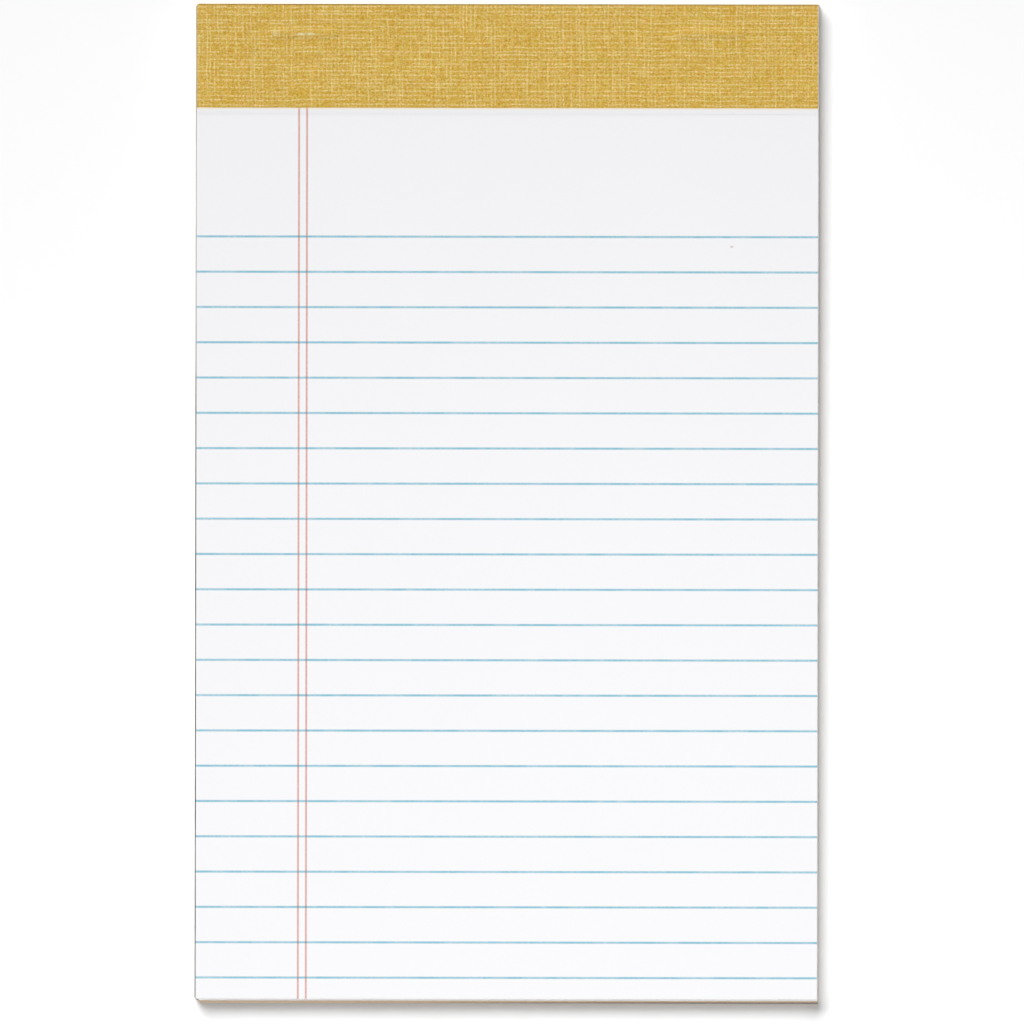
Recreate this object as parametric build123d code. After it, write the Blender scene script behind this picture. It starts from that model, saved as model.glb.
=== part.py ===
from build123d import *
import os

# A small ruled legal pad that lies face up, in millimetres: +X to the right, +Y to the head, +Z up.
# The origin is under the middle of the pad, on the surface that it lies on.

# Ruled sheets, glued and stapled at the head
sheet_width = 127.0
sheet_length = 203.2
sheet_count = 50
sheet_thickness = 0.088

# What the trimming knives left: lower sheets reach further out than the top one
side_draw = 0.36
foot_draw = 0.5

# The two rubbed corners on the left
head_corner_round = 0.6
foot_corner_clip = 1.2

# Chipboard back, a little proud of the sheets at the foot
board_thickness = 0.76
board_foot_reach = 0.55

# Binding tape, folded over the head
tape_thickness = 0.18
front_flap = 21.2
back_flap = 19.0
fold_radius = 0.3

# Tear-off row of fine slits below the front flap
tear_row_drop = 1.3
slit_pitch = 0.8
slit_length = 0.5
slit_width = 0.1

# Flat wire staples under the tape
wire_thickness = 0.5
wire_width = 0.7
bend_radius = 0.5
crown_length = 12.5
staple_inset = 22.0
staple_from_head = 6.0
crown_stand = 0.2
clinch_gap = 3.5
wire_clearance = 0.05

# Arch of the blister that each crown raises in the tape
blister_radius = 3.0

# Levels, from the surface up
board_bottom = tape_thickness
board_top = board_bottom + board_thickness
sheets_top = board_top + sheet_count * sheet_thickness
tape_top = sheets_top + tape_thickness
crown_level = sheets_top + crown_stand - wire_thickness / 2
clinch_level = board_bottom + wire_clearance + wire_thickness / 2

# Places along the pad, with its whole length centred on the origin
pad_length = board_foot_reach + foot_draw + sheet_length + tape_thickness
tape_head = pad_length / 2
sheet_head = tape_head - tape_thickness
board_foot = -pad_length / 2
bottom_sheet_foot = board_foot + board_foot_reach
top_sheet_foot = bottom_sheet_foot + foot_draw
tear_row_place = tape_head - front_flap - tear_row_drop
staple_place = tape_head - staple_from_head

# Places across the pad
staple_centres = [staple_inset - sheet_width / 2, sheet_width / 2 - staple_inset]
uncut_reach = sheet_width


def trim_outline(level):
    """Plan outline that the knives leave at a level, with the two rubbed corners on the left."""
    spread = side_draw * (sheets_top - level) / sheets_top
    outline = Rectangle(sheet_width + 2 * spread, pad_length)
    foot_corner = outline.vertices().group_by(Axis.X)[0].sort_by(Axis.Y)[0]
    outline = chamfer(foot_corner, foot_corner_clip)
    head_corner = outline.vertices().group_by(Axis.X)[0].sort_by(Axis.Y)[-1]
    outline = fillet(head_corner, head_corner_round)
    return Pos(0, 0, level) * outline


def trimmed(piece):
    """What is left of a piece between the knives, whose sides lean in from the bottom to above the top."""
    kept = loft([trim_outline(0), trim_outline(2 * sheets_top)], ruled=True)
    return piece & kept


def uncut_strip(section):
    """A section drawn along the pad and up from the surface, run across the pad past both knives."""
    return extrude(Plane.YZ * section, amount=uncut_reach, both=True)


def staple_wire(centre, clearance):
    """One bent flat wire, from clinched end to clinched end, grown all round by a clearance."""
    half_crown = crown_length / 2
    leg_end = clinch_gap / 2 - clearance
    bends = FilletPolyline(
        (-leg_end, clinch_level),
        (-half_crown, clinch_level),
        (-half_crown, crown_level),
        (half_crown, crown_level),
        (half_crown, clinch_level),
        (leg_end, clinch_level),
        radius=bend_radius,
    )
    side = Plane.XZ * trace(bends, wire_thickness + 2 * clearance)
    return Pos(centre, staple_place, 0) * extrude(side, amount=wire_width / 2 + clearance, both=True)


def make_staples():
    """Two staples, each crown pressed into the top sheets and each leg end flush in the board's back."""
    return Part() + [staple_wire(centre, 0) for centre in staple_centres]


def staple_room():
    """The holes and grooves that the staples made in what they hold."""
    return [staple_wire(centre, wire_clearance) for centre in staple_centres]


def tear_row():
    """Fine slits through every sheet, in a row across the pad."""
    slit_count = int(sheet_width // slit_pitch)
    slit = extrude(Rectangle(slit_length, slit_width), amount=sheets_top - board_top)
    row = Pos(0, tear_row_place, board_top) * GridLocations(slit_pitch, 0, slit_count, 1)
    return row * slit


def make_sheet_block():
    """Fifty sheets as one block, with a slanted foot and the top edge of the head pressed round."""
    section = make_face(
        Polyline(
            (bottom_sheet_foot, board_top),
            (top_sheet_foot, sheets_top),
            (sheet_head, sheets_top),
            (sheet_head, board_top),
            close=True,
        )
    )
    head_edge = section.vertices().group_by(Axis.X)[-1].sort_by(Axis.Y)[-1]
    section = fillet(head_edge, fold_radius)
    return trimmed(uncut_strip(section)) - tear_row() - staple_room()


def make_backing_board():
    """Chipboard sheet with its lower head edge pressed round by the tape."""
    section = make_face(
        Polyline(
            (board_foot, board_bottom),
            (board_foot, board_top),
            (sheet_head, board_top),
            (sheet_head, board_bottom),
            close=True,
        )
    )
    head_edge = section.vertices().group_by(Axis.X)[-1].sort_by(Axis.Y)[0]
    section = fillet(head_edge, fold_radius)
    return trimmed(uncut_strip(section)) - staple_room()


def crown_blisters(level):
    """Long low rises with rounded ends over the two crowns, standing on a level and clear of the wire."""
    axis_below_corner = (blister_radius**2 - (wire_width / 2) ** 2) ** 0.5
    axis_level = level + crown_stand + wire_clearance - axis_below_corner
    upward = (Align.CENTER, Align.CENTER, Align.MIN)
    above = Pos(0, 0, level) * Box(uncut_reach, pad_length, sheets_top, align=upward)
    rises = []
    for centre in staple_centres:
        middle = Pos(centre, staple_place, axis_level)
        rise = middle * Cylinder(blister_radius, crown_length, rotation=(0, 90, 0))
        rise += middle * Pos(-crown_length / 2, 0, 0) * Sphere(blister_radius)
        rise += middle * Pos(crown_length / 2, 0, 0) * Sphere(blister_radius)
        rises.append(rise & above)
    return rises


def make_head_tape():
    """One strip folded twice over the head, raised in a blister over each staple crown."""
    middle = tape_thickness / 2
    folds = FilletPolyline(
        (tape_head - front_flap, tape_top - middle),
        (tape_head - middle, tape_top - middle),
        (tape_head - middle, middle),
        (tape_head - back_flap, middle),
        radius=fold_radius + middle,
    )
    strip = uncut_strip(trace(folds, tape_thickness))
    return trimmed(strip + crown_blisters(tape_top) - crown_blisters(sheets_top))


os.makedirs("parts", exist_ok=True)
export_step(make_sheet_block(), "parts/sheet_block.step")
export_step(make_backing_board(), "parts/backing_board.step")
export_step(make_head_tape(), "parts/head_tape.step")
export_step(make_staples(), "parts/staples.step")
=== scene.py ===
import math
import random

import bpy
import numpy as np
from bpy.props import FloatProperty, FloatVectorProperty, IntProperty, PointerProperty
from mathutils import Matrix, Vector, noise
from mathutils.geometry import tessellate_polygon


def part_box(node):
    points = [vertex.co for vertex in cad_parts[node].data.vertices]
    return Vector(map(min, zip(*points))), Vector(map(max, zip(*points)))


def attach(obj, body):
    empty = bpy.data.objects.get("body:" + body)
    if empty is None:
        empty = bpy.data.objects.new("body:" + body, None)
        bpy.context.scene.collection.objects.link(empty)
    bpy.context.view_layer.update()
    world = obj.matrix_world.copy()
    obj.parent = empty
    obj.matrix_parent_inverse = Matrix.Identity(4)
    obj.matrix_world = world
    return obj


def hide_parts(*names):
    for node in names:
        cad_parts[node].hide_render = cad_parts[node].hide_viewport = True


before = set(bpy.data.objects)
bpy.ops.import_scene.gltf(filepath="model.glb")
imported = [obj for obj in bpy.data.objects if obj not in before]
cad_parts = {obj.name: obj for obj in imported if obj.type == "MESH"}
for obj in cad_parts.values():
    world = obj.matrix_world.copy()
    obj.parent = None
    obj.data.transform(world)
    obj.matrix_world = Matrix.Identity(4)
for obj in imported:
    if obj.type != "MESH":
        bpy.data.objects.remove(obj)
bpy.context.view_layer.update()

bl_info = {
    "name": "Legal Pad",
    "version": (1, 0, 0),
    "blender": (4, 5, 0),
    "location": "View3D > Sidebar > Legal Pad",
    "description": "Dresses a ruled legal pad: its sheets, binding tape, chipboard back and staples",
    "category": "Object",
}

# Units and names that the whole file shares
MM = 0.001
BODY = "root"
BAKE_MAP = "OFBake"

# Parts of a rounded corner, and the shares of a fold's radius at which the board follows it
CORNER_PARTS = 5
FOLD_SHARES = (0.1, 0.3, 0.6, 1.0)

# Rim round the bake map, and the gap between its faces and its walls
MAP_RIM = 0.002
MAP_GAP = 0.01

# Levels, edges and thicknesses that the frame gives, in metres
sheets_low, sheets_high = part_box("sheet_block")
board_low, board_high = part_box("backing_board")
tape_low, tape_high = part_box("head_tape")
staples_low, staples_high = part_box("staples")
board_bottom = board_low.z
board_top = board_high.z
sheets_top = sheets_high.z
tape_thickness = board_bottom - tape_low.z
pad_head = tape_high.y
sheet_head = sheets_high.y
board_foot = board_low.y
bottom_sheet_foot = sheets_low.y
front_edge = tape_low.y


def corners_at(node, level):
    """Lowest and highest place in plan of a node's points at one level."""
    slack = 0.001 * MM
    points = [v.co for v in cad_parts[node].data.vertices if abs(v.co.z - level) < slack]
    low = Vector((min(p.x for p in points), min(p.y for p in points)))
    high = Vector((max(p.x for p in points), max(p.y for p in points)))
    return low, high


top_low, top_high = corners_at("sheet_block", sheets_top)
top_half_width = top_high.x
top_sheet_foot = top_low.y
back_edge = corners_at("head_tape", tape_low.z)[0].y
side_lean = (board_high.x - top_half_width) / (sheets_top - board_bottom)
foot_lean = (top_sheet_foot - bottom_sheet_foot) / (sheets_top - board_top)

# The right staple's reach; the left one is its mirror image
right_staple = [v.co.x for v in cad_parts["staples"].data.vertices if v.co.x > 0]
staple_centre = (min(right_staple) + max(right_staple)) / 2
staple_half_length = (max(right_staple) - min(right_staple)) / 2
staple_place = (staples_low.y + staples_high.y) / 2
wire_width = staples_high.y - staples_low.y
crown_rise = tape_high.z - sheets_top - tape_thickness


def screen(red, green, blue):
    """A colour as a screen shows it, from 0 to 255, as the linear values that shaders take."""
    shares = (value / 255 for value in (red, green, blue))
    return tuple(s / 12.92 if s <= 0.04045 else ((s + 0.055) / 1.055) ** 2.4 for s in shares)


def size(name, description, default):
    """A length that a user can change, in metres."""
    return FloatProperty(name=name, description=description, default=default, unit="LENGTH", precision=5)


def share(name, description, default):
    """A plain number from 0 upwards."""
    return FloatProperty(name=name, description=description, default=default, min=0.0, precision=3)


def colour(name, description, default):
    """A colour that a user can change."""
    return FloatVectorProperty(
        name=name, description=description, default=default, subtype="COLOR", size=3, min=0.0, max=1.0
    )


class SheetSettings(bpy.types.PropertyGroup):
    """Sizes of the sheets, their tear-off row and the rubbed corners."""

    count: IntProperty(name="Sheets", description="Sheets in the pad", default=50, min=2)
    air: size("Air", "Gap between one sheet and the next", 0.006 * MM)
    stray: size("Stray", "How far a sheet may lie out of line", 0.025 * MM)
    tear_drop: size("Tear row", "From the tape's front edge to the tear-off row", 1.3 * MM)
    slit_pitch: size("Slit pitch", "From one slit to the next", 0.8 * MM)
    slit_length: size("Slit length", "Length of a slit along the row", 0.5 * MM)
    slit_width: size("Slit width", "Width of a slit", 0.025 * MM)
    slit_sheets: IntProperty(name="Slit sheets", description="Upper sheets with slits", default=12, min=1)
    slit_margin: size("Slit margin", "From the middle of the row to the plain paper beside it", 0.1 * MM)
    foot_clip: size("Foot corner", "Clip of the left corner at the foot", 1.2 * MM)
    head_round: size("Head corner", "Radius of the left corner at the head", 0.6 * MM)
    page: colour("Page", "White of the paper", screen(240, 240, 242))
    edge: colour("Page edge", "Cut edges of the paper", screen(236, 235, 234))
    # Painted light: a warm pale tint below the tape's front edge, for light that the tape throws on the
    # paper
    painted_tape_bounce: colour("Tape bounce", "Glue that shows along the tape's front edge", screen(240, 216, 150))
    grime: share("Grime", "How far the handled left edge is darkened", 0.3)
    # Painted shade: darkens the small up-facing steps of the left edge, which the lamps leave lit
    step_shade: share("Step shade", "How far dirt darkens the small steps of the left edge", 0.9)


class RulingSettings(bpy.types.PropertyGroup):
    """Sizes and inks of the printed rules and margin."""

    first_drop: size("First rule", "From the head of the pad to the first rule", 47.58 * MM)
    pitch: size("Pitch", "From one rule to the next", 7.214 * MM)
    count: IntProperty(name="Rules", description="Rules on a page", default=22, min=1)
    width: size("Rule width", "Width of a rule", 0.43 * MM)
    margin_inset: size("Margin", "From the left edge to the outer margin line", 20.9 * MM)
    margin_gap: size("Margin gap", "Between the two margin lines", 1.63 * MM)
    margin_width: size("Margin width", "Width of a margin line", 0.36 * MM)
    rule_ink: colour("Rule ink", "Ink of the rules", screen(145, 202, 219))
    margin_ink: colour("Margin ink", "Ink of the margin lines", screen(228, 167, 156))
    speck: colour("Speck", "A fleck in the paper", screen(196, 176, 160))


class TapeSettings(bpy.types.PropertyGroup):
    """Sizes and colours of the binding tape."""

    fold_radius: size("Fold", "Inner radius of the two folds", 0.3 * MM)
    air: size("Air", "Gap between the tape and what it covers", 0.005 * MM)
    blister_radius: size("Blister", "Radius of the rise over a staple's crown", 3.0 * MM)
    wander: size("Wander", "How far the front edge strays from a straight line", 0.06 * MM)
    thinned: size("Thinned", "Thickness that pressing took off the front edge", 0.13 * MM)
    thin_reach: size("Thin reach", "From the front edge to where the tape is fully thick", 4.0 * MM)
    mesh_step: size("Mesh step", "Size of the mesh's faces", 0.45 * MM)
    warp_pitch: size("Warp pitch", "Room for one thread that runs along the pad", 0.82 * MM)
    weft_pitch: size("Weft pitch", "Room for one thread that runs across the pad", 0.82 * MM)
    gold: colour("Gold", "Ground of the tape", screen(214, 167, 56))
    shade: colour("Shade", "Hollows between the threads", screen(184, 136, 10))
    thread: colour("Thread", "Raised threads", screen(239, 218, 158))
    tint: colour("Tint", "Greener patches of the ground", screen(202, 175, 58))
    # Painted shade: the dark colour laid along the fold at the head, where the tape turns down
    painted_shade: colour("Painted shade", "Dirt along the fold at the head", screen(112, 92, 52))
    rubbed: colour("Rubbed", "Worn spots over a staple", screen(226, 217, 170))


class BoardSettings(bpy.types.PropertyGroup):
    """Sizes and colours of the chipboard back."""

    ply_level: size("Ply", "Height of the upper ply's underside above the board's back", 0.6 * MM)
    ply_gap: size("Ply gap", "Gap between the two plies", 0.004 * MM)
    edge_round: size("Edge", "Rounding of the board's edges", 0.06 * MM)
    fray: size("Fray", "Roughness of the cut edges", 0.05 * MM)
    point_step: size("Point step", "Distance between points along the edge", 1.5 * MM)
    board: colour("Board", "Grey-brown of the chipboard", screen(211, 189, 164))
    fleck: colour("Fleck", "Dark fibres in the chipboard", screen(128, 106, 86))
    pale: colour("Pale", "Pale fibres in the chipboard", screen(232, 218, 198))
    # Painted shade: the colour laid on the outer rim of the board's foot
    painted_shade: colour("Painted shade", "Dirt along the board's foot", screen(62, 60, 68))


class StapleSettings(bpy.types.PropertyGroup):
    """Sizes and colours of the two staples."""

    wire: size("Wire", "Thickness of the wire", 0.5 * MM)
    room: size("Room", "Room round the wire in what it holds", 0.05 * MM)
    clinch_gap: size("Clinch gap", "Between the two bent ends of a staple", 3.5 * MM)
    dull: colour("Dull", "Dull spots of the wire", screen(150, 150, 152))
    bright: colour("Bright", "Bright spots of the wire", screen(204, 204, 206))


class StageSettings(bpy.types.PropertyGroup):
    """The camera, the lights and the floor."""

    camera_height: size("Camera height", "Height of the camera above the floor", 3.0)
    camera_right: size("Camera right", "Camera's place to the right of the pad's middle", 1.04 * MM)
    camera_up: size("Camera up", "Camera's place towards the head", -1.62 * MM)
    camera_turn: FloatProperty(
        name="Camera turn", description="Turn of the camera about the view", default=0.0015, subtype="ANGLE"
    )
    lens: FloatProperty(name="Lens", description="Focal length in millimetres", default=515.0, min=1.0)
    key: share("Key", "Share of the light from the large lamp at the upper left", 0.83)
    key_left: share("Key left", "Slant of the key lamp's rays from the left, at most", 0.66)
    key_head_low: share("Key head low", "Slant of the key lamp's rays from the head, at least", 0.36)
    key_head_high: share("Key head high", "Slant of the key lamp's rays from the head, at most", 1.08)
    top: share("Top", "Share of the light from the lamp overhead", 0.24)
    fill: share("Fill", "Share of the light from the low lamp at the foot", 0.02)
    edge: share("Edge", "Share of the light on the cut edges from their own lamp", 0.27)
    side: share("Side", "Share of the light on the right cut edge from its own lamp", 0.05)
    dome: share("Dome", "Share of the light from all round", 0.04)
    floor_lift: share("Floor lift", "Glow that brings the open floor to white", 0.02)
    floor: colour("Floor", "Plain floor", screen(251, 251, 251))


class LegalPadSettings(bpy.types.PropertyGroup):
    """All settings of the pad and its stage."""

    sheets: PointerProperty(type=SheetSettings)
    ruling: PointerProperty(type=RulingSettings)
    tape: PointerProperty(type=TapeSettings)
    board: PointerProperty(type=BoardSettings)
    staples: PointerProperty(type=StapleSettings)
    stage: PointerProperty(type=StageSettings)


class Field:
    """One output of a material's nodes. Arithmetic on fields adds Math nodes."""

    def __init__(self, nodes, socket):
        self.nodes = nodes
        self.socket = socket

    def output(self, name):
        """Another output of the same node."""
        return Field(self.nodes, self.socket.node.outputs[name])

    def math(self, operation, first, second=0.0):
        return self.nodes.add("ShaderNodeMath", {"operation": operation}, {0: first, 1: second})

    def __add__(self, other):
        return self.math("ADD", self, other)

    def __radd__(self, other):
        return self.math("ADD", other, self)

    def __sub__(self, other):
        return self.math("SUBTRACT", self, other)

    def __rsub__(self, other):
        return self.math("SUBTRACT", other, self)

    def __mul__(self, other):
        return self.math("MULTIPLY", self, other)

    def __rmul__(self, other):
        return self.math("MULTIPLY", other, self)

    def __truediv__(self, other):
        return self.math("DIVIDE", self, other)

    def __rtruediv__(self, other):
        return self.math("DIVIDE", other, self)

    def __mod__(self, other):
        return self.math("FLOORED_MODULO", self, other)

    def __abs__(self):
        return self.math("ABSOLUTE", self)

    def __gt__(self, other):
        return self.math("GREATER_THAN", self, other)

    def __lt__(self, other):
        return self.math("LESS_THAN", self, other)

    def floor(self):
        return self.math("FLOOR", self)

    def larger(self, other):
        return self.math("MAXIMUM", self, other)


class Nodes:
    """The nodes of one material or of the world."""

    def __init__(self, tree):
        self.tree = tree
        self.tree.nodes.clear()

    def add(self, kind, settings=None, inputs=None, output=0):
        """Adds a node with its settings and the values or links of its sockets, and gives one output."""
        node = self.tree.nodes.new(kind)
        for name, value in (settings or {}).items():
            setattr(node, name, value)
        for name, value in (inputs or {}).items():
            if isinstance(value, Field):
                self.tree.links.new(value.socket, node.inputs[name])
            else:
                node.inputs[name].default_value = value
        if len(node.outputs):
            return Field(self, node.outputs[output])
        return None

    def place(self):
        """Where a point lies on the pad, in millimetres: across, along and up."""
        where = self.add("ShaderNodeTexCoord", output="Object")
        scaled = self.add("ShaderNodeVectorMath", {"operation": "SCALE"}, {0: where, "Scale": 1 / MM})
        across = self.add("ShaderNodeSeparateXYZ", None, {0: scaled}, "X")
        return across, across.output("Y"), across.output("Z")

    def vector(self, across, along, up=0.0):
        return self.add("ShaderNodeCombineXYZ", None, {0: across, 1: along, 2: up})

    def noise(self, vector, scale=1.0, detail=2.0, roughness=0.5):
        """Soft random values from 0 to 1, whose grain is about one over the scale."""
        inputs = {"Vector": vector, "Scale": scale, "Detail": detail, "Roughness": roughness}
        return self.add("ShaderNodeTexNoise", {"noise_dimensions": "3D"}, inputs)

    def chance(self, vector):
        """A hard random value from 0 to 1 for each place."""
        return self.add("ShaderNodeTexWhiteNoise", {"noise_dimensions": "3D"}, {"Vector": vector})

    def step(self, value, low, high):
        """A smooth step from 0 at low to 1 at high, or down again where high is the lower one."""
        inputs = {"Value": value, "From Min": low, "From Max": high}
        return self.add("ShaderNodeMapRange", {"interpolation_type": "SMOOTHSTEP"}, inputs)

    def mix(self, factor, under, over, blend="MIX"):
        """One colour laid over another."""
        settings = {"data_type": "RGBA", "blend_type": blend}
        return self.add("ShaderNodeMix", settings, {0: factor, 6: paint(under), 7: paint(over)}, 2)

    def overprint(self, factor, under, ink):
        """A clear ink printed on a colour, which darkens where two inks cross."""
        return self.mix(factor, under, ink, "MULTIPLY")

    def scale(self, factor, tone):
        """A colour made lighter or darker by a factor."""
        return self.add("ShaderNodeVectorMath", {"operation": "SCALE"}, {0: tone, "Scale": factor})

    def bump(self, height, depth, strength):
        inputs = {"Strength": strength, "Distance": depth, "Height": height}
        return self.add("ShaderNodeBump", None, inputs)


def paint(value):
    """A plain colour with its alpha, or a field as it is."""
    return value if isinstance(value, Field) else (*value, 1.0)


def new_finish(name, make, **plain):
    """A material: make gives what varies over it, and the plain values go straight to the shader."""
    material = bpy.data.materials.new(name)
    material.use_nodes = True
    nodes = Nodes(material.node_tree)
    varying = make(nodes)
    shader = nodes.add("ShaderNodeBsdfPrincipled", None, {**plain, **varying})
    nodes.add("ShaderNodeOutputMaterial", None, {"Surface": shader})
    return material


def line(nodes, distance, width, soft):
    """1 on a printed line and 0 beside it, by the distance from its middle."""
    return nodes.step(distance, width / 2 + soft, width / 2 - soft)


def spot(nodes, across, along, place, reach):
    """1 in the middle of an oval and 0 outside it."""
    off_x = (across - place[0]) / reach[0]
    off_y = (along - place[1]) / reach[1]
    return nodes.step(off_x * off_x + off_y * off_y, 1.0, 0.3)


def ruled_page(sheets, ruling):
    """White writing paper with pale rules from edge to edge and a double margin line."""
    soft = 0.11
    tear_row = (front_edge - sheets.tear_drop) / MM
    first_rule = (pad_head - ruling.first_drop) / MM
    pitch = ruling.pitch / MM
    margin = (ruling.margin_inset - top_half_width) / MM
    margin_lines = (margin, margin + ruling.margin_gap / MM)
    fleck_place = (45.9, 52.65)
    fleck_reach = (0.42, 0.3)

    def make(nodes):
        across, along, up = nodes.place()
        where = nodes.vector(across, along, up)
        fibre = nodes.noise(where, 2.2, 4.0, 0.6)
        cloud = nodes.noise(where, 0.05, 1.0)
        ink_grain = nodes.step(nodes.noise(where, 1.9, 3.0, 0.65), 0.22, 0.62)
        rows = (first_rule - along) / pitch + 0.5
        in_rules = (rows > 0.0) * (rows < float(ruling.count))
        from_rule = abs(rows % 1.0 - 0.5) * pitch
        rule = line(nodes, from_rule, ruling.width / MM, soft) * in_rules
        ink_flow = nodes.step(nodes.noise(where, 0.22, 2.0), 0.3, 0.7)
        rule = rule * (ink_grain * 0.25 + ink_flow * 0.25 + 0.6)
        margin_mask = 0.0
        for place in margin_lines:
            margin_mask = line(nodes, abs(across - place), ruling.margin_width / MM, soft) + margin_mask
        margin_mask = margin_mask * (ink_grain * 0.2 + 0.8)
        fleck = spot(nodes, across, along, fleck_place, fleck_reach) * 0.6
        # Painted shade: a faint grey band over the dented tear-off row
        pressed = nodes.step(abs(along - tear_row - 0.35), 1.3, 0.2) * 0.04
        # Painted light: a warm pale tint just below the tape's front edge, which lightens the tape's shadow
        painted_tape_bounce = nodes.step(along, front_edge / MM - 0.55, front_edge / MM) * 0.6
        tone = fibre * 0.03 + cloud * 0.012 + 0.979 - pressed
        taken = 1.0 - rule * margin_mask * 0.15
        printed = nodes.overprint(rule * taken, nodes.scale(tone, tuple(sheets.page)), ruling.rule_ink)
        printed = nodes.overprint(margin_mask * taken, printed, ruling.margin_ink)
        printed = nodes.mix(fleck, printed, ruling.speck)
        printed = nodes.mix(painted_tape_bounce, printed, sheets.painted_tape_bounce)
        return {
            "Base Color": printed,
            "Roughness": fibre * 0.12 + 0.8,
            "Normal": nodes.bump(fibre, 0.012 * MM, 0.5),
        }

    return new_finish("ruled_page", make, **{"Specular IOR Level": 0.25})


def page_edges(sheets):
    """The same paper where the knife cut it, with painted shade on the small steps of the left edge and
    grime on its walls.
    """
    thickness = (sheets_top - board_top) / sheets.count / MM
    left_edge = -top_half_width / MM
    clipped_edge = left_edge + (board_foot + sheets.foot_clip) / MM
    lighter_end = 45.0
    darker_end = 20.0

    def make(nodes):
        across, along, up = nodes.place()
        grain = nodes.noise(nodes.vector(across, along, up * 6.0), 1.6, 3.0, 0.6)
        number = ((up - board_top / MM) / thickness - 0.1).floor()
        sheet = nodes.chance(nodes.vector(number, 0.0))
        left = nodes.step(across, left_edge + 0.2, left_edge + 0.05)
        clipped = nodes.step(across + along, clipped_edge + 0.2, clipped_edge + 0.05)
        patch = nodes.noise(nodes.vector(across, along, up), 0.08, 2.0)
        facing = nodes.add("ShaderNodeNewGeometry", output="Normal")
        is_step = nodes.add("ShaderNodeSeparateXYZ", None, {0: facing}, "Z") > 0.5
        # Painted shade on the up-facing steps of the left edge and round the clipped corner, real grime on
        # its walls; both are lighter near the head
        shade_and_grime = is_step * sheets.step_shade + (1.0 - is_step) * sheet * sheets.grime
        shade_and_grime = shade_and_grime * (nodes.step(along, lighter_end, darker_end) * 0.4 + 0.6)
        edge_shade_and_grime = left.larger(clipped) * shade_and_grime * (patch * 0.6 + 0.7)
        tone = (grain * 0.08 + sheet * 0.06 + 0.93) * (1.0 - edge_shade_and_grime)
        return {"Base Color": nodes.scale(tone, tuple(sheets.edge)), "Roughness": grain * 0.1 + 0.85}

    return new_finish("page_edges", make, **{"Specular IOR Level": 0.2})


def threads(nodes, over, beside, pitch, wave, run, shares, seed):
    """Ridges one beside the other, each at its own place, and the threads that come and go along them."""
    drift = nodes.noise(nodes.vector(over * 0.5, beside * 0.02, seed), wave, 1.0) * 0.9
    lane = beside / pitch + drift
    number = lane.floor()
    own = nodes.chance(nodes.vector(number, seed))
    present = nodes.noise(nodes.vector(number * 7.31, over / run, seed), 1.0, 1.0)
    strength = nodes.step(present, *shares)
    off_middle = abs(lane % 1.0 - (own * 0.4 + 0.3))
    ridge = nodes.step(off_middle, 0.36, 0.0)
    return ridge, ridge * strength


def gold_linen(tape):
    """Gold paper pressed with a linen weave, rubbed pale over the left staple."""
    head = pad_head / MM
    top = (sheets_top + tape_thickness) / MM
    warp_pitch = tape.warp_pitch / MM
    weft_pitch = tape.weft_pitch / MM
    wear_y = staple_place / MM
    left_end = (-staple_centre - staple_half_length) / MM
    worn = (
        ((left_end + 0.75, wear_y), (0.95, 0.7), 0.7),
        ((left_end + 6.9, wear_y - 0.2), (2.7, 0.36), 0.95),
    )

    def make(nodes):
        across, along, up = nodes.place()
        round_head = along - up
        where = nodes.vector(across, along, up)
        mottle = nodes.noise(nodes.vector(across, along * 1.4 - up, up), 2.6, 2.0, 0.65)
        broken = nodes.step(mottle, 0.32, 0.64)
        patch = nodes.noise(where, 0.16, 2.0)
        tint = nodes.noise(nodes.vector(along, across, up + 9.0), 1.2, 2.0, 0.6)
        warp_ridge, warp = threads(
            nodes, round_head, across, warp_pitch, wave=0.25, run=8.5, shares=(0.34, 0.72), seed=3.7
        )
        weft_ridge, weft = threads(
            nodes, across, round_head, weft_pitch, wave=0.22, run=4.5, shares=(0.25, 0.62), seed=8.2
        )
        beads = (warp * (weft_ridge * 0.35 + 0.65)).larger(weft * (warp_ridge * 0.35 + 0.65))
        speck = nodes.noise(nodes.vector(across, round_head, up + 4.0), 4.8, 1.0)
        weave = beads * 0.85 + (warp_ridge + weft_ridge) * 0.07 + (speck - 0.5) * 1.15
        gold = nodes.mix(nodes.step(tint, 0.35, 0.65), tape.gold, tape.tint)
        ground = nodes.mix(broken, tape.shade, gold)
        glint = nodes.step(nodes.noise(where, 2.8, 2.0, 0.7), 0.45, 0.75) * 0.5
        linen = nodes.mix((weave * (broken * 0.7 + 0.35)).larger(glint), ground, tape.thread)
        linen = nodes.scale(patch * 0.1 + 0.95, linen)
        flaked = nodes.step(nodes.noise(nodes.vector(across + 3.0, along, up), 1.9, 2.0, 0.7), 0.36, 0.6)
        rub = 0.0
        for place, reach, strength in worn:
            rub = spot(nodes, across, along, place, reach) * strength + rub
        rub = rub * flaked * (up > sheets_top / MM)
        # Painted shade along the fold at the head, where the tape turns down
        fold = nodes.step(along, head - 0.42, head - 0.12) * nodes.step(up, top - 1.6, top - 0.5)
        linen = nodes.mix(fold * (patch * 0.5 + 0.5), linen, tape.painted_shade)
        return {
            "Base Color": nodes.mix(rub, linen, tape.rubbed),
            "Roughness": mottle * 0.15 + 0.6,
            "Normal": nodes.bump(weave + mottle * 0.3, 0.025 * MM, 0.5),
        }

    return new_finish("gold_linen", make, **{"Specular IOR Level": 0.2})


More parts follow.
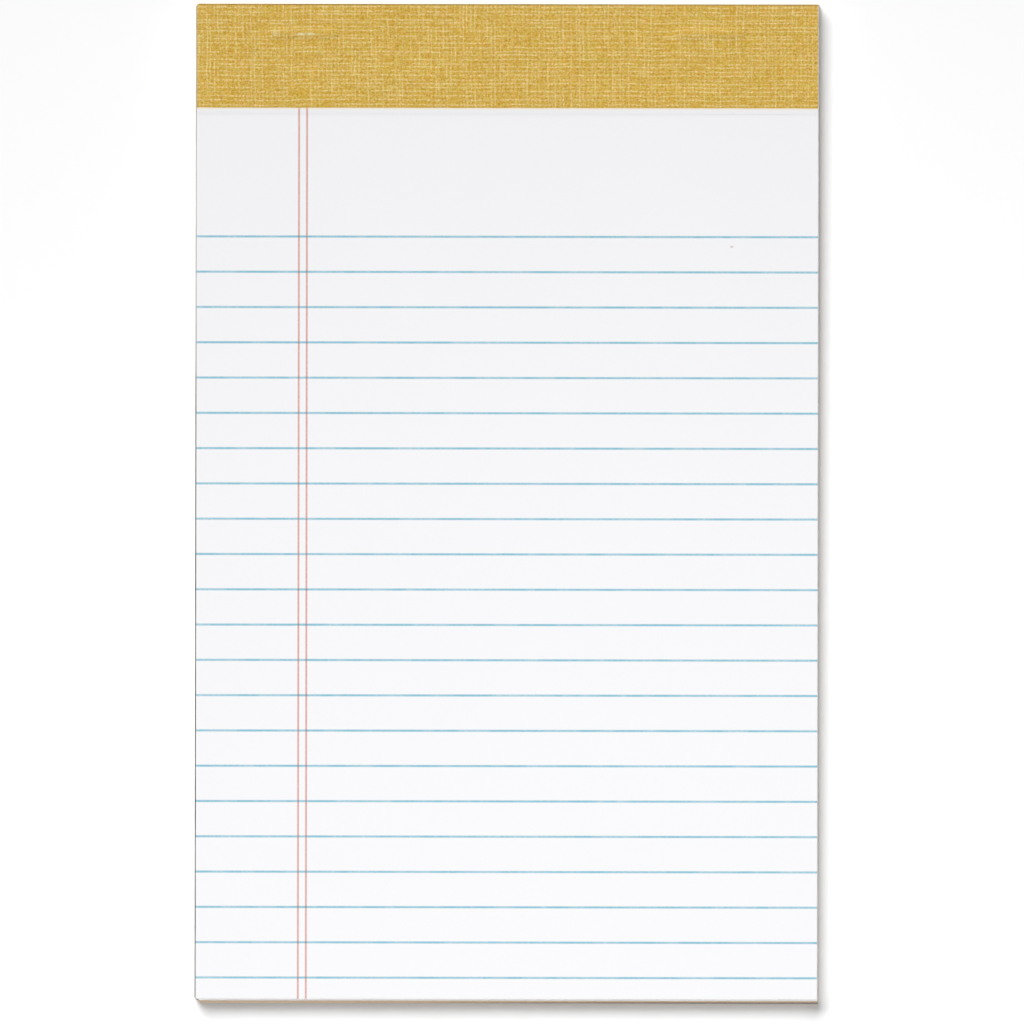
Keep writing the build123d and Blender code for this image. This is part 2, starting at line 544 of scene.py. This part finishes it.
def chipboard(board):
    """Grey-brown recycled board with pale and dark fibres, and painted shade along its foot, most at the
    right.
    """
    foot = board_foot / MM
    ledge = (board_top - board.edge_round) / MM
    lighter_end = -55.0
    darker_end = 45.0

    def make(nodes):
        across, along, up = nodes.place()
        where = nodes.vector(across, along, up)
        pulp = nodes.noise(where, 0.9, 4.0, 0.65)
        bend = nodes.noise(where, 0.2, 1.0) * 3.0
        lengthwise = nodes.vector(across * 2.2 + bend, along * 0.5, up)
        crosswise = nodes.vector(across * 0.5, along * 2.2 + bend, up)
        dark = nodes.step(nodes.noise(lengthwise), 0.66, 0.76)
        pale = nodes.step(nodes.noise(crosswise), 0.64, 0.76)
        base = nodes.scale(pulp * 0.22 + 0.89, tuple(board.board))
        fibres = nodes.mix(dark * 0.45, base, board.fleck)
        fibres = nodes.mix(pale * 0.35, fibres, board.pale)
        # Painted shade on the outer rim of the foot's ledge, darker towards the right
        rim = nodes.step(along, foot + 0.34, foot + 0.16) * (up > ledge)
        fibres = nodes.mix(rim * nodes.step(across, lighter_end, darker_end) * 0.72, fibres, board.painted_shade)
        return {
            "Base Color": fibres,
            "Roughness": pulp * 0.1 + 0.82,
            "Normal": nodes.bump(pulp + dark * 0.4, 0.03 * MM, 0.7),
        }

    return new_finish("chipboard", make, **{"Specular IOR Level": 0.2})


def drawn_wire(staples):
    """Galvanised wire with fine marks along its length."""

    def make(nodes):
        across, along, up = nodes.place()
        drawn = nodes.noise(nodes.vector(across * 0.6, along * 14.0, up * 14.0), 1.0, 2.0)
        cloud = nodes.noise(nodes.vector(across, along, up), 1.1, 3.0)
        tone = nodes.mix(cloud * 0.6 + drawn * 0.3, staples.dull, staples.bright)
        return {"Base Color": tone, "Roughness": cloud * 0.2 + drawn * 0.1 + 0.25}

    return new_finish("drawn_wire", make, **{"Metallic": 1.0})


def half_width_at(level):
    """Half the pad's width at a level: the knives lean in towards the top."""
    return top_half_width + side_lean * (sheets_top - level)


def pressed_in(depth, radius):
    """How far a rounded edge of that radius draws back, at a depth below it."""
    left = min(radius, max(0.0, radius - depth))
    return radius - math.sqrt(radius**2 - left**2)


def left_edge_at(level, along, head_round):
    """The pad's left edge at a level, drawn in round the corner at the head."""
    return -half_width_at(level) + pressed_in(pad_head - along, head_round)


def box_loop(low_x, low_y, high_x, high_y):
    """The four corners of a rectangle, turning left."""
    return [(low_x, low_y), (high_x, low_y), (high_x, high_y), (low_x, high_y)]


def even_parts(start, end, count):
    """Places that cut a stretch into equal parts, with both its ends."""
    return [start + (end - start) * i / count for i in range(count + 1)]


def even_places(start, end, step):
    """Places from start to end, about a step apart."""
    return even_parts(start, end, max(1, round(abs(end - start) / step)))


def staple_holes(staples, inner=None):
    """Holes for both staples: from an inner distance outwards for each leg, or one for a whole crown."""
    outer = staple_half_length + staples.room
    spans = [(-outer, outer)] if inner is None else [(-outer, -inner), (inner, outer)]
    low = staple_place - wire_width / 2 - staples.room
    high = staple_place + wire_width / 2 + staples.room
    centres = (-staple_centre, staple_centre)
    return [box_loop(c + start, low, c + end, high) for c in centres for start, end in spans]


def leg_holes(staples):
    """Holes that just let the legs of both staples through."""
    return staple_holes(staples, staple_half_length - staples.wire - staples.room)


class Plan:
    """A flat shape seen from above, made of faces that share their corners."""

    def __init__(self):
        self.corners = []
        self.numbers = {}
        self.faces = []

    def corner(self, place):
        """The number of a corner, which is new if no corner is there yet."""
        key = (round(place[0] / MM, 5), round(place[1] / MM, 5))
        if key not in self.numbers:
            self.numbers[key] = len(self.corners)
            self.corners.append(place)
        return self.numbers[key]

    def face(self, *places):
        self.faces.append([self.corner(place) for place in places])

    def fan(self, outline):
        """Fills an outline that bulges all round with triangles that share its first corner."""
        for second, third in zip(outline[1:], outline[2:]):
            self.face(outline[0], second, third)

    def fill(self, outline, holes):
        """Fills an outline with triangles, round its holes."""
        loops = [outline, *holes]
        places = [place for loop in loops for place in loop]
        for place in places:
            self.corner(place)
        flat = [[Vector((x / MM, y / MM, 0.0)) for x, y in loop] for loop in loops]
        for triangle in tessellate_polygon(flat):
            a, b, c = (places[i] for i in triangle)
            turn = (b[0] - a[0]) * (c[1] - a[1]) - (b[1] - a[1]) * (c[0] - a[0])
            self.face(*((a, b, c) if turn > 0 else (a, c, b)))

    def rim(self):
        """Edges that only one face has, in that face's direction."""
        edges = [(face[i - 1], face[i]) for face in self.faces for i in range(len(face))]
        known = set(edges)
        return [(a, b) for a, b in edges if (b, a) not in known]


class Solid:
    """Points and faces of closed slabs."""

    def __init__(self):
        self.points = []
        self.faces = []

    def slab(self, layers, shift=(0.0, 0.0)):
        """Adds one closed slab through layers of a level and a plan, from the lowest to the highest."""
        lowest = layers[0][1]
        highest = layers[-1][1]
        start = len(self.points)
        count = len(lowest.corners)
        for level, layer in layers:
            if len(layer.corners) != count:
                raise RuntimeError("the layers of a slab differ in their corners")
            self.points.extend((x + shift[0], y + shift[1], level) for x, y in layer.corners)
        top = start + count * (len(layers) - 1)
        self.faces.extend([start + i for i in reversed(face)] for face in lowest.faces)
        self.faces.extend([top + i for i in face] for face in highest.faces)
        rim = lowest.rim()
        for floor in range(start, top, count):
            ceiling = floor + count
            self.faces.extend([floor + a, floor + b, ceiling + b, ceiling + a] for a, b in rim)

    def to_mesh(self, name):
        mesh = bpy.data.meshes.new(name)
        mesh.from_pydata(self.points, [], self.faces)
        if mesh.validate():
            raise RuntimeError(f"{name} has faulty faces")
        return mesh


def sheet_plan(settings, level, middle, holes, slits):
    """One face of a sheet at a level, as wide as at its middle, with the tear-off row below its head."""
    sheets = settings.sheets
    half = half_width_at(middle)
    foot = top_sheet_foot - foot_lean * (sheets_top - level)
    head = sheet_head - pressed_in(sheets_top - level, settings.tape.fold_radius)
    clip_top = board_foot + sheets.foot_clip
    row = front_edge - sheets.tear_drop
    row_low = row - sheets.slit_margin
    row_high = row + sheets.slit_margin
    stations = [-half, half]
    if slits:
        count = int(2 * top_half_width // sheets.slit_pitch)
        row_end = count * sheets.slit_pitch / 2
        stations[1:1] = even_parts(-row_end, row_end, count)
    plan = Plan()
    clipped = [(-half, clip_top), (-half + clip_top - foot, foot)]
    for left, right in zip(stations, stations[1:]):
        near = clipped if left == -half else [(left, foot)]
        plan.face(*near, (right, foot), (right, row_low), (left, row_low))
    for left, right in zip(stations, stations[1:]):
        if left == -half or right == half:
            plan.face((left, row_low), (right, row_low), (right, row_high), (left, row_high))
            continue
        centre = (left + right) / 2
        cell = box_loop(left, row_low, right, row_high)
        reach = (sheets.slit_length / 2, sheets.slit_width / 2)
        slit = box_loop(centre - reach[0], row - reach[1], centre + reach[0], row + reach[1])
        for i in range(4):
            j = (i + 1) % 4
            plan.face(cell[i], cell[j], slit[j], slit[i])
    rounds = even_parts(head, pad_head - sheets.head_round, CORNER_PARTS)
    neck = (row_high + staple_place) / 2
    plan.fan([(half, neck), (-half, neck)] + [(x, row_high) for x in stations])
    rounded = [(left_edge_at(middle, y, sheets.head_round), y) for y in rounds]
    plan.fill([(-half, neck), (half, neck), (half, head), *rounded], holes)
    return plan


def add_sheet(solid, settings, number, shift):
    """Adds one closed sheet, counted from the board, with the holes that the staples made in it."""
    sheets = settings.sheets
    staples = settings.staples
    step = (sheets_top - board_top) / sheets.count
    low = board_top + number * step + sheets.air
    high = board_top + (number + 1) * step
    by_crown = high > staples_high.z - staples.wire - staples.room
    holes = staple_holes(staples) if by_crown else leg_holes(staples)
    slits = number >= sheets.count - sheets.slit_sheets
    middle = (low + high) / 2
    solid.slab([(level, sheet_plan(settings, level, middle, holes, slits)) for level in (low, high)], shift)


def add_piece(name, mesh, material, node):
    """Shows a mesh as a piece that rides on the pad and stands for one of its nodes."""
    mesh.materials.append(material)
    piece = bpy.data.objects.new(name, mesh)
    bpy.context.scene.collection.objects.link(piece)
    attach(piece, BODY)
    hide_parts(node)


def read_all(items, name, width, kind=float):
    """One property of all items, with a row of values for each."""
    values = np.empty(len(items) * width, kind)
    items.foreach_get(name, values)
    return values.reshape(-1, width)


def lay_bake_map(mesh, height, two_sided=False):
    """Lays out the map for baked finishes: faces up to a height, and four strips of walls above them.

    Faces that look down share the room of those that look up, or lie to their left where both sides show.
    """
    points = read_all(mesh.vertices, "co", 3)
    sides = read_all(mesh.polygons, "loop_total", 1, int).ravel()
    normals = np.repeat(read_all(mesh.polygons, "normal", 3), sides, axis=0)
    numbers = read_all(mesh.loops, "vertex_index", 1, int).ravel()
    low = points.min(axis=0)
    place = (points[numbers] - low) / (points.max(axis=0) - low)
    axis = np.abs(normals).argmax(axis=1)
    ahead = np.take_along_axis(normals, axis[:, None], axis=1)[:, 0] > 0
    end = 1.0 - MAP_RIM
    up = (0.5 if two_sided else MAP_RIM, MAP_RIM, end, height)
    down = (MAP_RIM, MAP_RIM, 0.5 - MAP_RIM if two_sided else end, height)
    areas = {(2, True): (up, 0, 1), (2, False): (down, 0, 1)}
    bottom = height + MAP_GAP
    strip = (end - bottom) / 4
    filled = 0.8
    for i, look in enumerate([(0, True), (0, False), (1, True), (1, False)]):
        area = (MAP_RIM, bottom + i * strip, end, bottom + (i + filled) * strip)
        areas[look] = (area, 1 - look[0], 2)
    spread = np.zeros((len(numbers), 2))
    for (towards, forward), (area, first, second) in areas.items():
        chosen = (axis == towards) & (ahead == forward)
        spread[chosen, 0] = area[0] + (area[2] - area[0]) * place[chosen, first]
        spread[chosen, 1] = area[1] + (area[3] - area[1]) * place[chosen, second]
    bake_map = mesh.uv_layers.new(name=BAKE_MAP)
    bake_map.data.foreach_set("uv", spread.ravel())


def make_top_sheet(settings):
    """The sheet that shows, with its print."""
    solid = Solid()
    add_sheet(solid, settings, settings.sheets.count - 1, (0.0, 0.0))
    mesh = solid.to_mesh("top_sheet")
    lay_bake_map(mesh, height=0.94)
    add_piece("top_sheet", mesh, ruled_page(settings.sheets, settings.ruling), "sheet_block")


def make_lower_sheets(settings):
    """All other sheets, each a little out of line."""
    chance = random.Random(50)
    stray = settings.sheets.stray
    solid = Solid()
    for number in range(settings.sheets.count - 1):
        shift = (chance.uniform(-stray, stray), chance.uniform(-stray, stray))
        add_sheet(solid, settings, number, shift)
    mesh = solid.to_mesh("lower_sheets")
    lay_bake_map(mesh, height=0.5)
    add_piece("lower_sheets", mesh, page_edges(settings.sheets), "sheet_block")


def tape_path(tape):
    """Places on the tape's inner face, from the front edge over the head to the back, and the way out."""
    radius = tape.fold_radius
    turn = sheet_head - radius
    upper = sheets_top - radius
    lower = board_bottom + radius

    def fold(level, start):
        """A quarter turn about a level, in steps of ten degrees."""
        angles = [math.radians(start + further) for further in range(10, 91, 10)]
        ways = [(math.sin(angle), math.cos(angle)) for angle in angles]
        return [(turn + radius * y, level + radius * z, y, z) for y, z in ways]

    path = [(y, sheets_top, 0.0, 1.0) for y in even_places(front_edge, turn, tape.mesh_step)]
    path += fold(upper, 0)
    path += [(sheet_head, z, 1.0, 0.0) for z in even_places(upper, lower, tape.mesh_step)[1:]]
    path += fold(lower, 90)
    path += [(y, board_bottom, 0.0, -1.0) for y in even_places(turn, back_edge, 2 * tape.mesh_step)[1:]]
    return path


def blister(tape, across, along):
    """How far a staple's crown lifts the tape at a place."""
    radius = tape.blister_radius
    straight = staple_half_length - wire_width / 2
    past_end = max(0.0, abs(abs(across) - staple_centre) - straight)
    off = math.hypot(past_end, along - staple_place)
    if off >= radius:
        return 0.0
    rise = math.sqrt(radius**2 - off**2) - radius + crown_rise
    soft = 0.03 * MM
    return max(0.0, (rise + math.hypot(rise, soft)) / 2 - soft**2 / (4 * crown_rise))


def outer_offset(tape, row):
    """How far the tape's outer face lies from its inner one, less towards the front edge."""
    from_front = row[0] - front_edge
    if row[3] != 1.0 or from_front > tape.thin_reach:
        return tape_thickness
    return tape_thickness - tape.thinned * (1.0 - from_front / tape.thin_reach) ** 2


def tape_point(tape, head_round, row, column, offset):
    """A point of the tape at a share of its width, at an offset from its inner face."""
    along, level, out_y, out_z = row
    along += out_y * offset
    level += out_z * offset
    left = left_edge_at(level, along, head_round)
    across = left + (half_width_at(level) - left) * column
    if out_z == 1.0:
        level += blister(tape, across, along)
    if row[0] == front_edge:
        along += tape.wander * noise.noise(Vector((across / (4 * MM), 0.0, 0.0)))
        along += tape.wander / 2 * noise.noise(Vector((across / MM, 5.0, 0.0)))
    return across, along, level


def grid_faces(grid, area, flipped):
    """Faces between the points of a grid, each corner with its place in an area of the bake map."""
    left, bottom, right, top = area
    columns = even_parts(left, right, len(grid[0]) - 1)
    rows = even_parts(bottom, top, len(grid) - 1)
    faces = []
    for r, (near, far) in enumerate(zip(grid, grid[1:])):
        for c in range(len(near) - 1):
            corners = (near[c], near[c + 1], far[c + 1], far[c])
            places = box_loop(columns[c], rows[r], columns[c + 1], rows[r + 1])
            face = list(zip(corners, places))
            faces.append(face[:1] + face[:0:-1] if flipped else face)
    return faces


def make_binding_tape(settings):
    """One strip folded over the head, raised over the staples."""
    tape = settings.tape
    head_round = settings.sheets.head_round
    rows = tape_path(tape)
    middle = round(top_half_width / tape.mesh_step)
    columns = even_parts(0.0, 1.0, 2 * middle)
    points = []
    for row in rows:
        points.extend(tape_point(tape, head_round, row, c, tape.air) for c in columns)
    for row in rows:
        points.extend(tape_point(tape, head_round, row, c, outer_offset(tape, row)) for c in columns)
    numbers = np.arange(len(points)).reshape(2, len(rows), len(columns))
    inner, outer = numbers
    # Each side of the strip, its area of the bake map, and whether its faces turn the other way
    sides = (
        (outer[:, : middle + 1], (0.0, 0.0, 1.0, 0.45), False),
        (outer[:, middle:], (0.0, 0.46, 1.0, 0.91), False),
        (inner, (0.0, 0.93, 1.0, 0.96), True),
        (numbers[:, 0], (0.0, 0.97, 1.0, 0.975), False),
        (numbers[:, -1], (0.0, 0.98, 1.0, 0.985), True),
        (numbers[:, :, 0], (0.0, 0.988, 1.0, 0.991), True),
        (numbers[:, :, -1], (0.0, 0.994, 1.0, 0.997), False),
    )
    solid = Solid()
    solid.points = points
    spread = []
    for grid, area, flipped in sides:
        for face in grid_faces(grid.tolist(), area, flipped):
            solid.faces.append([corner for corner, place in face])
            spread.extend(value for corner, place in face for value in place)
    mesh = solid.to_mesh("binding_tape")
    bake_map = mesh.uv_layers.new(name=BAKE_MAP)
    bake_map.data.foreach_set("uv", spread)
    mesh.shade_smooth()
    mesh.set_sharp_from_angle(angle=math.radians(40))
    add_piece("binding_tape", mesh, gold_linen(tape), "head_tape")


def board_plan(settings, level, inset, holes):
    """The board's outline at a level, drawn in by an inset, with the roughness of a cut edge."""
    board = settings.board
    sheets = settings.sheets
    half = half_width_at(level)
    head = sheet_head - pressed_in(level - board_bottom, settings.tape.fold_radius)
    step = board.point_step
    clip = board_foot + sheets.foot_clip
    start = pad_head - sheets.head_round

    def fray(along):
        return inset + board.fray * abs(noise.noise(Vector((along / (2 * MM), level / (0.4 * MM), 3.0))))

    foot_left = -half + sheets.foot_clip
    outline = [(x, board_foot + fray(x)) for x in even_places(foot_left, half, step)[1:-1]]
    outline.append((half - fray(0.0), board_foot + fray(half)))
    outline += [(half - fray(y), y) for y in even_places(board_foot, start, step)[1:-1]]
    outline.append((half - inset, head))
    rounds = even_parts(head, start, CORNER_PARTS)
    outline += [(left_edge_at(level, y, sheets.head_round) + inset, y) for y in rounds]
    outline += [(fray(y) - half, y) for y in even_places(start, clip, step)[1:-1]]
    half_clip = sheets.foot_clip / 2
    cut = inset * math.sqrt(0.5)
    outline.append((inset - half, clip + inset))
    outline.append((half_clip - half + cut, clip - half_clip + cut))
    outline.append((foot_left + inset, board_foot + inset))
    plan = Plan()
    plan.fill(outline, holes)
    return plan


def make_chipboard(settings):
    """Two plies of grey board: the lower one takes the bent ends of the staples."""
    board = settings.board
    staples = settings.staples
    ply = board_bottom + board.ply_level
    grooves = staple_holes(staples, staples.clinch_gap / 2 - staples.room)
    legs = leg_holes(staples)
    edge = board.edge_round
    solid = Solid()
    lower = [(board_bottom, edge)]
    lower += [(board_bottom + settings.tape.fold_radius * part, 0.0) for part in FOLD_SHARES]
    lower.append((ply - board.ply_gap, 0.0))
    solid.slab([(level, board_plan(settings, level, inset, grooves)) for level, inset in lower])
    upper = [(ply, 0.0), (board_top - edge, 0.0), (board_top, edge)]
    solid.slab([(level, board_plan(settings, level, inset, legs)) for level, inset in upper])
    mesh = solid.to_mesh("chipboard")
    lay_bake_map(mesh, height=0.94, two_sided=True)
    add_piece("chipboard", mesh, chipboard(board), "backing_board")


def finish_staples(settings):
    """Gives the two staples their wire finish."""
    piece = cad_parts["staples"]
    piece.data.materials.clear()
    piece.data.materials.append(drawn_wire(settings.staples))


def seen_directly(nodes):
    """1 for what the camera sees, straight or in a reflection, and 0 for what only lights the pad."""
    camera = nodes.add("ShaderNodeLightPath", output="Is Camera Ray")
    return camera + camera.output("Is Glossy Ray") + camera.output("Is Transmission Ray")


def add_floor(stage):
    """A wide pale floor that keeps the pad's shadow and is white where nothing shades it."""
    reach = 6.0
    mesh = bpy.data.meshes.new("floor")
    corners = [(x, y, 0.0) for x, y in box_loop(-reach, -reach, reach, reach)]
    mesh.from_pydata(corners, [], [(0, 1, 2, 3)])

    def make(nodes):
        glow = nodes.scale(seen_directly(nodes), (stage.floor_lift,) * 3)
        return {"Emission Color": glow}

    plain = {"Base Color": paint(tuple(stage.floor)), "Roughness": 0.95, "Specular IOR Level": 0.1}
    mesh.materials.append(new_finish("floor", make, **plain, **{"Emission Strength": 1.0}))
    floor = bpy.data.objects.new("floor", mesh)
    bpy.context.scene.collection.objects.link(floor)


def add_lamp(name, kind, place, target, power, **settings):
    """A lamp at a place, turned to a target, that the camera doesn't see."""
    lamp = bpy.data.lights.new(name, kind)
    lamp.energy = power
    for key, value in settings.items():
        setattr(lamp, key, value)
    holder = bpy.data.objects.new(name, lamp)
    holder.location = place
    holder.rotation_euler = (Vector(target) - Vector(place)).to_track_quat("-Z", "Y").to_euler()
    holder.visible_camera = False
    bpy.context.scene.collection.objects.link(holder)
    return holder


def add_panel(name, place, width, depth, light):
    """A flat lamp turned to the pad's middle, for its share of the light on the page."""
    power = light * (math.pi * place.length) ** 2 / (place.z / place.length)
    shape = {"shape": "RECTANGLE", "size": width, "size_y": depth}
    return add_lamp(name, "AREA", place, (0.0, 0.0, 0.0), power, **shape)


def add_edge_lamps(stage):
    """Two lamps, at the foot and at the right, that light only what stands out from under the top sheet."""
    edges = bpy.data.collections.new("cut_edges")
    for name in ("lower_sheets", "chipboard"):
        edges.objects.link(bpy.data.objects[name])
    at_foot = add_panel("edge_lamp", Vector((0.0, -2.0, 2.0)), 3.0, 0.6, stage.edge)
    at_right = add_panel("side_lamp", Vector((0.25, 0.25, 0.15)), 0.1, 0.1, stage.side)
    for lamp in (at_foot, at_right):
        lamp.light_linking.receiver_collection = edges


def add_lights(stage):
    """Lamps at the upper left, overhead, at the foot and for the cut edges, and a soft dome."""
    height = 6.0
    across = height * stage.key_left
    along = height * (stage.key_head_high - stage.key_head_low)
    key_place = Vector((-across / 2, height * stage.key_head_low + along / 2, height))
    reach = key_place.length
    key_power = stage.key * (math.pi * reach * reach / height) ** 2
    below = (key_place.x, key_place.y, 0.0)
    key_shape = {"shape": "RECTANGLE", "size": across, "size_y": along}
    add_lamp("key_lamp", "AREA", key_place, below, key_power, **key_shape)
    top_place = Vector((0.05, -0.235, 2.0))
    top_power = stage.top * 4 * (math.pi * top_place.z) ** 2
    top_shape = {"spot_size": math.radians(24), "spot_blend": 1.0, "shadow_soft_size": 0.1}
    add_lamp("top_lamp", "SPOT", top_place, (top_place.x, top_place.y, 0.0), top_power, **top_shape)
    add_panel("fill_lamp", Vector((0.1, -2.0, 0.2)), 1.2, 0.3, stage.fill)
    add_edge_lamps(stage)
    world = bpy.data.worlds.new("dome")
    world.use_nodes = True
    nodes = Nodes(world.node_tree)
    strength = seen_directly(nodes) * (1.0 - stage.dome) + stage.dome
    dome = nodes.add("ShaderNodeBackground", None, {"Color": (1.0, 1.0, 1.0, 1.0), "Strength": strength})
    nodes.add("ShaderNodeOutputWorld", None, {"Surface": dome})
    bpy.context.scene.world = world


def add_camera(stage):
    """A long lens straight above the pad."""
    lens = bpy.data.cameras.new("camera")
    lens.lens = stage.lens
    lens.sensor_width = 36.0
    lens.clip_end = 100.0
    camera = bpy.data.objects.new("camera", lens)
    camera.location = (stage.camera_right, stage.camera_up, stage.camera_height)
    camera.rotation_euler = (0.0, 0.0, stage.camera_turn)
    bpy.context.scene.collection.objects.link(camera)
    bpy.context.scene.camera = camera


class LEGALPAD_OT_top_sheet(bpy.types.Operator):
    """Makes the printed top sheet"""

    bl_idname = "legal_pad.top_sheet"
    bl_label = "Top Sheet"

    def execute(self, context):
        make_top_sheet(context.scene.legal_pad)
        return {"FINISHED"}


class LEGALPAD_OT_lower_sheets(bpy.types.Operator):
    """Makes the sheets under the top one"""

    bl_idname = "legal_pad.lower_sheets"
    bl_label = "Lower Sheets"

    def execute(self, context):
        make_lower_sheets(context.scene.legal_pad)
        return {"FINISHED"}


class LEGALPAD_OT_binding_tape(bpy.types.Operator):
    """Makes the gold tape that is folded over the head"""

    bl_idname = "legal_pad.binding_tape"
    bl_label = "Binding Tape"

    def execute(self, context):
        make_binding_tape(context.scene.legal_pad)
        return {"FINISHED"}


class LEGALPAD_OT_chipboard(bpy.types.Operator):
    """Makes the chipboard back"""

    bl_idname = "legal_pad.chipboard"
    bl_label = "Chipboard Back"

    def execute(self, context):
        make_chipboard(context.scene.legal_pad)
        return {"FINISHED"}


class LEGALPAD_OT_staples(bpy.types.Operator):
    """Finishes the staples as drawn wire"""

    bl_idname = "legal_pad.staples"
    bl_label = "Staples"

    def execute(self, context):
        finish_staples(context.scene.legal_pad)
        return {"FINISHED"}


class LEGALPAD_OT_stage(bpy.types.Operator):
    """Sets up the floor, the lights and the camera"""

    bl_idname = "legal_pad.stage"
    bl_label = "Stage"

    def execute(self, context):
        stage = context.scene.legal_pad.stage
        add_floor(stage)
        add_lights(stage)
        add_camera(stage)
        context.scene.view_settings.view_transform = "Standard"
        return {"FINISHED"}


class VIEW3D_PT_legal_pad(bpy.types.Panel):
    """Lists the pad's pieces and settings"""

    bl_label = "Legal Pad"
    bl_idname = "VIEW3D_PT_legal_pad"
    bl_space_type = "VIEW_3D"
    bl_region_type = "UI"
    bl_category = "Legal Pad"

    def draw(self, context):
        layout = self.layout
        for step in BUILD_STEPS:
            layout.operator(step.bl_idname)
        settings = context.scene.legal_pad
        for title in LegalPadSettings.__annotations__:
            group = getattr(settings, title)
            box = layout.box()
            for name in group.__annotations__:
                box.prop(group, name)


SETTINGS = (SheetSettings, RulingSettings, TapeSettings, BoardSettings, StapleSettings, StageSettings)
BUILD_STEPS = (
    LEGALPAD_OT_top_sheet,
    LEGALPAD_OT_lower_sheets,
    LEGALPAD_OT_binding_tape,
    LEGALPAD_OT_chipboard,
    LEGALPAD_OT_staples,
    LEGALPAD_OT_stage,
)
CLASSES = (*SETTINGS, LegalPadSettings, *BUILD_STEPS, VIEW3D_PT_legal_pad)


def register():
    for kind in CLASSES:
        bpy.utils.register_class(kind)
    bpy.types.Scene.legal_pad = PointerProperty(type=LegalPadSettings)


def unregister():
    del bpy.types.Scene.legal_pad
    for kind in reversed(CLASSES):
        bpy.utils.unregister_class(kind)


def main():
    """Builds every piece and the stage."""
    register()
    bpy.ops.legal_pad.top_sheet()
    bpy.ops.legal_pad.lower_sheets()
    bpy.ops.legal_pad.binding_tape()
    bpy.ops.legal_pad.chipboard()
    bpy.ops.legal_pad.staples()
    bpy.ops.legal_pad.stage()


if __name__ == "__main__":
    main()
